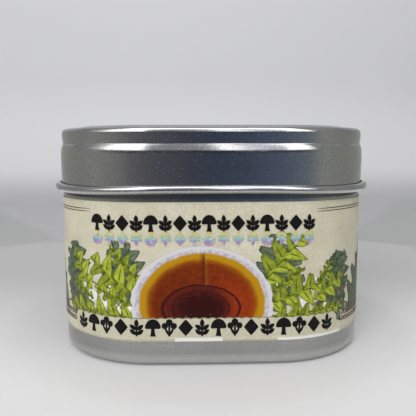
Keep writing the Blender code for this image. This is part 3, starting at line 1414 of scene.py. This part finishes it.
@dataclass(frozen=True)
class LabelPrint:
    """Everything printed on the label, in mm: along it from the front's middle, and above the floor."""

    label: PaperLabel
    middle: float = -3.1
    shaded: tuple[Spray, ...] = (
        Spray((Leaf.FROND, Leaf.WILLOW), 8, ((37.0, 9.5), (57.0, 10.0)), (58, 102), 17.0, 0.35),
        Spray((Leaf.BUSHY, Leaf.FROND), 6, ((24.0, 10.5), (33.0, 14.0)), (20, 95), 12.5, 0.3),
        Spray((Leaf.FROND,), 4, ((13.5, 13.0), (14.5, 18.0)), (40, 76), 12.0, 0.5),
    )
    fresh: tuple[Spray, ...] = (
        Spray((Leaf.FERN, Leaf.BROAD), 3, ((25.0, 12.5), (26.0, 17.0)), (0, 56), 9.5, 0.6),
        Spray((Leaf.FINGER, Leaf.OAK), 4, ((14.6, 11.5), (13.4, 18.5)), (4, 50), 13.0, 0.5),
    )

    def leaves(self, sprays: tuple[Spray, ...]) -> list:
        """Leaves of the sprays on both sides of the middle."""
        return [leaf for side in (-1, 1) for spray in sprays for leaf in spray.patches(self.middle, side)]

    def ground(self) -> list:
        """Pale gaps between the leaves: even steps out from the cap, swinging in height and size.

        Returns:
            The patches.
        """
        gaps = []
        for side in (-1, 1):
            for number in range(5):
                size = 3.2 + 0.7 * np.cos(GOLDEN_ANGLE * number)
                run = self.middle + side * (17.5 + 2.8 * number)
                height = 15.5 + 3.0 * np.sin(GOLDEN_ANGLE * number + side)
                gaps.append(lens((run - size / 2, height), 0.2, size, size * 0.36))
        return gaps

    def stems(self) -> list:
        """Twigs with a bud at the tip on both sides, and the braided cords that end the ribbon.

        Returns:
            The patches.
        """
        parts = []
        for side in (-1, 1):
            for out, rise in ((18.0, 6.0), (25.0, 2.5), (33.0, -4.0)):
                foot = (self.middle + side * out, 13.5)
                tip = (foot[0] + side * 9.0, foot[1] + rise)
                heading = np.degrees(np.arctan2(rise, side * 9.0))
                parts.append(Stroke(foot, tip, 0.22, side * 0.5).patch())
                parts.append(Leaf.BUD.value.draw(tip, heading, 2.6, 0.0, 0.5))
        for start, end in ((-60.0, -31.4), (31.4, 60.0)):
            turns = (end - start) / 2.2
            for level in (8.9, 10.4):
                parts += [Stroke((start, level), (end, level), 0.16, 0, 0.42, turns, phase, 0.0, 400).patch()
                          for phase in (0.0, pi)]
        return parts

    def rules(self) -> list:
        """Pairs of thin tapered lines near the upper corners, and frames round blank side panels.

        Returns:
            The patches.
        """
        lines = [
            Stroke((self.middle + side * 26.0, level), (self.middle + side * 47.0, level), 0.13, 0.12,
                   taper=0.35)
            for side in (-1, 1) for level in (35.0, 35.6)
        ]
        for middle in (-69.0, 69.0):
            for inset in (0.0, 0.6):
                low, high, reach = 9.0 + inset, 34.0 - inset, 10.0 - inset
                lines += [Stroke((middle - reach, level), (middle + reach, level), 0.1, taper=0.0)
                          for level in (low, high)]
                lines += [Stroke((edge, low), (edge, high), 0.1, taper=0.0)
                          for edge in (middle - reach, middle + reach)]
        return [line.patch() for line in lines]

    def blocks(self) -> list:
        """Blank pale areas: a batch block at the front's lower edge, and one at each side of the back."""
        return [Stroke((start, low + half), (end, low + half), half, taper=0.0).patch()
                for start, end, low, half in ((-9.2, 1.5, 6.0, 0.42), (14.0, 31.0, 6.0, 0.3),
                                              (-128.0, -96.0, 12.0, 9.0), (96.0, 128.0, 12.0, 9.0))]

    def ribbon_band(self, widen: float) -> list:
        """Scalloped cream band behind the lower frieze, as a stroke whose edges wave.

        Args:
            widen: how far it is grown on every side, in mm.

        Returns:
            The one patch, in a list.
        """
        share = np.linspace(0, 1, 500)
        run = self.middle - 32.4 - widen + (64.8 + 2 * widen) * share
        ends = np.minimum(np.minimum(share, 1 - share) * 60, 1) ** 0.5
        half = (1.98 + 0.22 * np.abs(np.sin(run * pi / 1.9)) + widen) * ends
        path = np.stack([run, np.full(500, 9.15 + widen)], axis=-1)
        return [ribbon(path * MM, np.maximum(half, 0.05) * MM, 6)]

    def build(self) -> None:
        """Print the inks from the back of the picture to its front."""
        black = PlainInk("black_ink", (0.004, 0.0035, 0.0035), (0.009, 0.008, 0.008))
        brown = PlainInk("brown_ink", (0.10, 0.065, 0.045), (0.22, 0.17, 0.12))
        white = PlainInk("white_block_ink", (0.74, 0.73, 0.69), (0.68, 0.67, 0.62))
        cream = PlainInk("cream_band_ink", (0.53, 0.50, 0.38), (0.46, 0.42, 0.31))
        olive = PlainInk("olive_line_ink", (0.16, 0.16, 0.08), (0.24, 0.23, 0.13))
        shaded = LeafInk("shaded_leaf_ink", (0.02, 0.032, 0.02), (0.065, 0.095, 0.055), (0.16, 0.20, 0.12))
        fresh = LeafInk("fresh_leaf_ink", (0.02, 0.038, 0.004), (0.115, 0.16, 0.01), (0.40, 0.46, 0.04))
        kinds = (Figure.TOADSTOOL, Figure.SPRIG, Figure.LOZENGE, Figure.SPRIG)
        top = Frieze(self.middle - 24.0, self.middle + 24.0, 30.9, 3.7, 16, kinds)
        strong = (Figure.SPRIG, Figure.TOADSTOOL, Figure.BERRIES, Figure.LOZENGE)
        low = Frieze(self.middle - 29.4, self.middle + 29.4, 7.2, 4.0, 17, strong)
        rainbow = RainbowInk("rainbow_ink", 27.7 * MM, 30.9 * MM)
        picture = CapPicture((self.middle, 14.5))
        cap = CapInk()
        layers = (
            ("label_blocks", self.blocks(), white), ("label_rules", self.rules(), brown),
            ("label_shaded_leaves", self.leaves(self.shaded), shaded),
            ("label_leaf_gaps", self.ground(), white),
            ("label_stems_and_cords", self.stems(), brown),
            ("label_fresh_leaves", self.leaves(self.fresh), fresh),
            ("label_cap_picture", [picture.patch()], cap),
            ("label_band_line", self.ribbon_band(0.1), olive), ("label_band", self.ribbon_band(0.0), cream),
            ("label_lower_frieze", low.patches(), black), ("label_top_frieze", top.patches(), black),
            ("label_frieze_reflection", top.patches(-0.86, 0.84), rainbow),
        )
        lift = 0.01 * MM
        inks = (black, brown, white, cream, olive, shaded, fresh, rainbow, cap)
        materials = {ink: ink.material() for ink in inks}
        for name, patches, ink in layers:
            layer = PrintLayer(name, self.label, lift)
            layer.build(patches, materials[ink])
            lift += layer.film + layer.step * len(patches)


# ---------------------------------------------------------------- studio


@dataclass(frozen=True)
class Studio:
    """Pale floor that sweeps up into a backdrop, soft light from above, and the camera."""

    eye: tuple[float, float, float] = (-5.7 * MM, -155.1 * MM, 49.6 * MM)
    heading: float = 0.0338
    dip: float = 0.1146
    roll: float = 0.0018
    lens: float = 46.7
    sensor: float = 36.0
    horizon: Colour = (0.37, 0.375, 0.35)
    zenith: Colour = (0.50, 0.50, 0.51)
    lid_level: float = 0.047

    def camera(self) -> None:
        """Put the camera in front of the tin, just under the lid's height and looking down a little."""
        cam = bpy.data.objects.new("camera", bpy.data.cameras.new("camera"))
        bpy.context.scene.collection.objects.link(cam)
        cam.data.sensor_width = self.sensor
        cam.data.lens = self.lens
        cam.data.clip_start = 0.01
        cam.data.clip_end = 20.0
        forward = Vector((np.sin(self.heading) * np.cos(self.dip), np.cos(self.heading) * np.cos(self.dip),
                          -np.sin(self.dip)))
        right = Vector((np.cos(self.heading), -np.sin(self.heading), 0.0))
        turn = Matrix((right, right.cross(forward), -forward)).transposed().to_4x4()
        cam.matrix_world = Matrix.Translation(self.eye) @ turn @ Matrix.Rotation(-self.roll, 4, "Z")
        bpy.context.scene.camera = cam

    def sweep(self) -> None:
        """Floor and backdrop: a straight run, a quarter circle and a straight rise, drawn sideways."""
        back, radius, tall = 0.42, 0.12, 1.2
        bend = np.linspace(0, pi / 2, 24)
        y = np.concatenate([[-2.0, -0.5], back - radius + radius * np.sin(bend), [back]])
        z = np.concatenate([[0.0, 0.0], radius - radius * np.cos(bend), [tall]])
        x = np.linspace(-1.6, 1.6, 9)
        grid = np.stack(np.broadcast_arrays(x[None, :], y[:, None], z[:, None]), axis=-1)
        floor = mesh_object("floor_sweep", grid.reshape(-1, 3), grid_quads(len(y), len(x), False))
        floor.data.materials.append(StudioMatt().material())

    def sky(self) -> None:
        """Room light: dim round the horizon, brighter overhead."""
        world = bpy.data.worlds.new("soft_room")
        world.use_nodes = True
        nodes, links = world.node_tree.nodes, world.node_tree.links
        direction = nodes.new("ShaderNodeTexCoord")
        split = nodes.new("ShaderNodeSeparateXYZ")
        ramp = nodes.new("ShaderNodeValToRGB")
        links.new(direction.outputs["Generated"], split.inputs["Vector"])
        links.new(split.outputs["Z"], ramp.inputs["Fac"])
        links.new(ramp.outputs["Color"], nodes["Background"].inputs["Color"])
        low, high = ramp.color_ramp.elements
        low.position, low.color = 0.15, (*self.horizon, 1.0)
        high.position, high.color = 0.6, (*self.zenith, 1.0)
        bpy.context.scene.world = world

    def lamp(self, name: str, spot: tuple, aim: tuple, size: float, power: float) -> None:
        """Square soft light that isn't seen in reflections.

        Args:
            name: name of the light.
            spot: where it hangs.
            aim: the point that it faces.
            size: its side.
            power: its power in watts.
        """
        light = bpy.data.lights.new(name, "AREA")
        light.size = size
        light.energy = power
        lamp = bpy.data.objects.new(name, light)
        bpy.context.scene.collection.objects.link(lamp)
        facing = (Vector(aim) - Vector(spot)).to_track_quat("-Z", "Y").to_matrix().to_4x4()
        lamp.matrix_world = Matrix.Translation(spot) @ facing
        lamp.visible_glossy = False

    def card(self, name: str, points: Array, glow: Array) -> None:
        """Curved card that only shows as a reflection.

        Args:
            name: name of the card.
            points: grid of positions.
            glow: brightness of each column of the grid.
        """
        rows, columns, _ = points.shape
        card = mesh_object(name, points.reshape(-1, 3), grid_quads(rows, columns, False))
        tones = np.ones((rows, columns, 4))
        tones[..., :3] = glow
        layer = card.data.color_attributes.new("glow", "FLOAT_COLOR", "POINT")
        layer.data.foreach_set("color", tones.astype(np.float32).ravel())
        bench = Bench(name)
        tone = bench.add("ShaderNodeAttribute", attribute_name="glow").outputs["Color"]
        bench.done(Base_Color=(0.0, 0.0, 0.0), Roughness=1.0, Specular_IOR_Level=0.0, Emission_Color=tone,
                   Emission_Strength=1.0)
        card.data.materials.append(bench.material)
        card.visible_camera = False
        card.visible_diffuse = False
        card.visible_shadow = False
        card.visible_transmission = False

    def round_card(self, name: str, stops: tuple, low: float, high: float, reach: float = 0.45) -> None:
        """Card curved round the front of the tin, a part of an upright cylinder.

        Args:
            name: name of the card.
            stops: (heading in degrees to the right of straight ahead, colour) from left to right.
            low: elevation of its lower edge in degrees, seen from the lid.
            high: elevation of its upper edge in degrees.
            reach: radius of the cylinder.
        """
        headings = np.linspace(stops[0][0], stops[-1][0], 60)
        glow = np.stack([np.interp(headings, [at for at, _ in stops], [c[k] for _, c in stops])
                         for k in range(3)], axis=-1)
        turn = np.radians(headings)[None, :]
        rise = np.radians(np.linspace(low, high, 12))[:, None]
        height = np.maximum(self.lid_level + reach * np.tan(rise), 0.001)
        points = np.stack(np.broadcast_arrays(reach * np.sin(turn), -reach * np.cos(turn), height), axis=-1)
        self.card(name, points, glow)

    def apron_card(self, name: str, stops: tuple, near: float, far: float) -> None:
        """Flat card on the floor in front of the tin, a part of a ring between two radii.

        Args:
            name: name of the card.
            stops: (heading, colour) as for a round card.
            near: inner radius.
            far: outer radius.
        """
        headings = np.linspace(stops[0][0], stops[-1][0], 60)
        glow = np.stack([np.interp(headings, [at for at, _ in stops], [c[k] for _, c in stops])
                         for k in range(3)], axis=-1)
        turn = np.radians(headings)[None, :]
        radius = np.linspace(far, near, 8)[:, None]
        x, y = radius * np.sin(turn), -radius * np.cos(turn)
        self.card(name, np.stack([x, y, np.full(x.shape, 0.8 * MM)], axis=-1), glow)

    def build(self) -> None:
        """Build the whole studio."""
        self.camera()
        self.sweep()
        self.sky()
        self.lamp("key_light", (-0.30, -0.85, 0.50), (0.0, 0.0, 0.03), 0.7, 6.0)
        self.lamp("top_light", (0.05, -0.15, 0.9), (0.0, 0.0, 0.0), 0.7, 1.6)
        figure = (
            (-150, (0.42, 0.43, 0.40)), (-90, (0.42, 0.43, 0.40)), (-70, (0.45, 0.46, 0.43)),
            (-40, (0.33, 0.33, 0.335)), (-28, (0.24, 0.24, 0.25)),
            (-8, (0.165, 0.165, 0.19)), (-3, (0.10, 0.11, 0.15)), (1, (0.075, 0.095, 0.15)),
            (7, (0.085, 0.115, 0.18)), (13, (0.15, 0.19, 0.28)), (40, (0.24, 0.28, 0.34)),
            (60, (0.47, 0.48, 0.45)), (90, (0.40, 0.41, 0.38)), (150, (0.40, 0.41, 0.38)),
        )
        self.round_card("standing_figure", figure, -12, 7)
        self.round_card("dark_collar", tuple((at, tuple(0.35 * level for level in tone)) if -45 < at < 45
                                             else (at, tone) for at, tone in figure), 7, 14)
        self.apron_card("dark_apron", figure, 0.15, 0.45)
        lit = (0.95, 0.95, 0.93)
        self.apron_card("lit_apron", ((-150, lit), (150, lit)), 0.056, 0.149)
        white, dim = (2.8, 2.8, 2.85), (0.42, 0.43, 0.46)
        self.round_card("head", ((-9, dim), (3, dim)), 14, 60, 0.449)
        glare = (6.0, 6.0, 6.1)
        self.round_card("window_top", ((-60, glare), (50, glare)), 60, 80)
        left = ((-80, (0.6, 0.6, 0.58)), (-66, (1.2, 1.2, 1.2)), (-56, white), (-15, white), (-9, dim))
        self.round_card("window_left", left, 14, 60)
        half = (1.05, 1.1, 1.2)
        pale = (0.9, 0.9, 0.9)
        right = ((3, white), (8, white), (9, half), (16, half), (19, white), (44, white), (52, pale))
        self.round_card("window_right", right, 14, 60)
        bpy.context.scene.view_settings.view_transform = "Standard"


def main() -> None:
    """Build the tin piece by piece, then the studio round it."""
    logging.basicConfig(level=logging.INFO, format="%(name)s: %(message)s")
    _, body_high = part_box("tin_body")
    lid_low, lid_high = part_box("slip_lid")
    label_low, label_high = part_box("paper_label")
    plan = TinPlan(half_width=body_high[0])
    # the body's painted shade under the lid starts at 37.6 mm; the lid's dark_from of 1 m puts none on the
    # lid
    grey = Tinplate("satin_tinplate", (0.38, 0.38, 0.37), (0.31, 0.31, 0.30), 0.13, 0.003 * MM, 37.6 * MM)
    bright = Tinplate("half_bright_tinplate", (0.42, 0.42, 0.42), (0.32, 0.32, 0.32), 0.08, 0.004 * MM, 1.0)
    TinBody(plan, rim_height=body_high[2]).build(grey)
    SlipLid(plan, top_height=lid_high[2], foot_height=lid_low[2]).build(bright)
    label = PaperLabel(plan, bottom=label_low[2], top=label_high[2])
    label.build(LabelPaper())
    LabelPrint(label).build()
    Studio().build()


if __name__ == "__main__":
    main()
